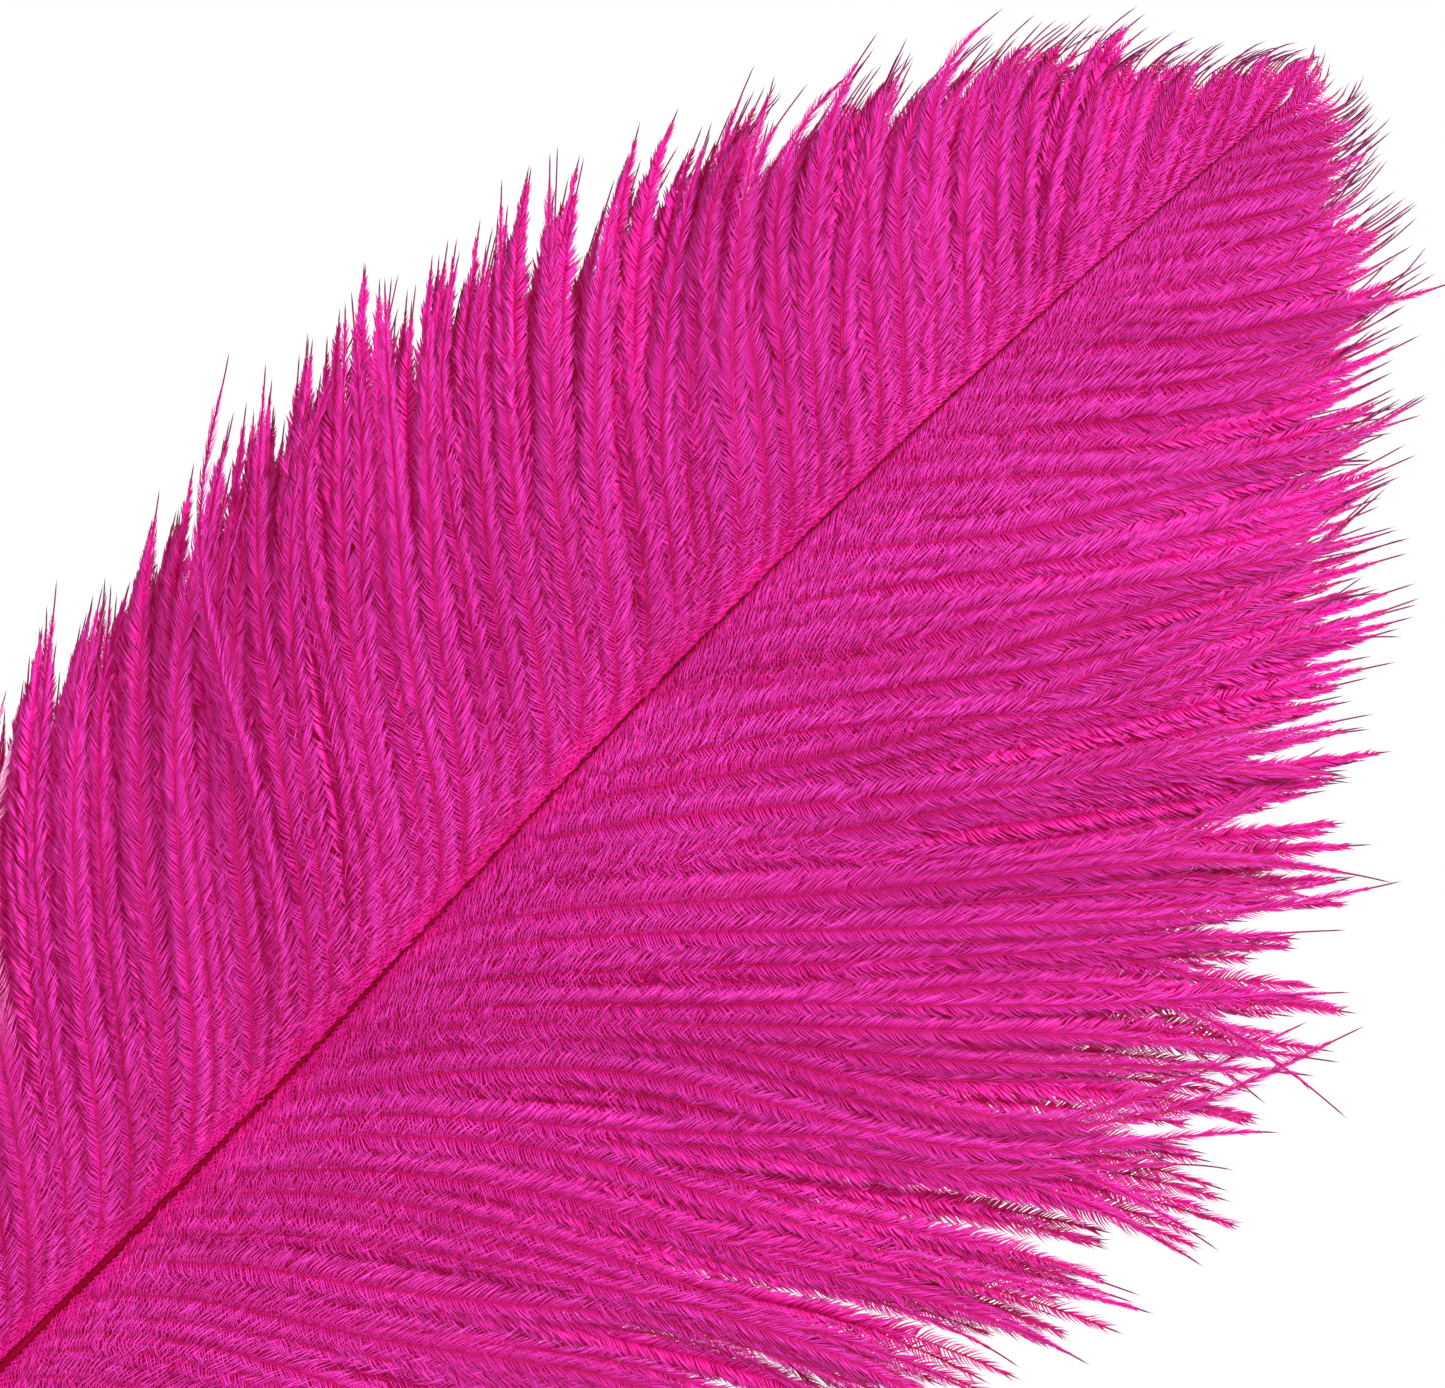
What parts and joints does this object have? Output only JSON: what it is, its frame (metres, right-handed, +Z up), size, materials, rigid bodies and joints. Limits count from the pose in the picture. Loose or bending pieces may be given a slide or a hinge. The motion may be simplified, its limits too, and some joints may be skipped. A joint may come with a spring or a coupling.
{
  "type": "ostrich plume",
  "caption": "Long dyed ostrich wing plume with a hollow cut quill, a tapering shaft and two soft, wide vanes of separate barbs.",
  "frame": {"origin": "centre of the quill's square cut end", "axes": "+Z up the shaft towards the tip, -Y out of the feather's front, +X towards its broad side"},
  "size_m": [0.1659, 0.0296, 0.3572],
  "materials": {
    "quill": "semi-gloss",
    "shaft": "semi-gloss",
    "pith": "matte",
    "barbs": "soft sheen"
  },
  "bodies": {
    "root": {"calamus": "quill", "pith_caps": "pith", "rachis_cortex": "shaft", "rachis_medulla": "pith", "left_down": "barbs", "right_down": "barbs", "tip_barbs": "barbs", "left_vane_1": "barbs", "left_vane_2": "barbs", "left_vane_3": "barbs", "left_vane_4": "barbs", "left_vane_5": "barbs", "left_vane_6": "barbs", "left_vane_7": "barbs", "left_vane_8": "barbs", "right_vane_1": "barbs", "right_vane_2": "barbs", "right_vane_3": "barbs", "right_vane_4": "barbs", "right_vane_5": "barbs", "right_vane_6": "barbs", "right_vane_7": "barbs", "right_vane_8": "barbs"}
  },
  "joints": []
}
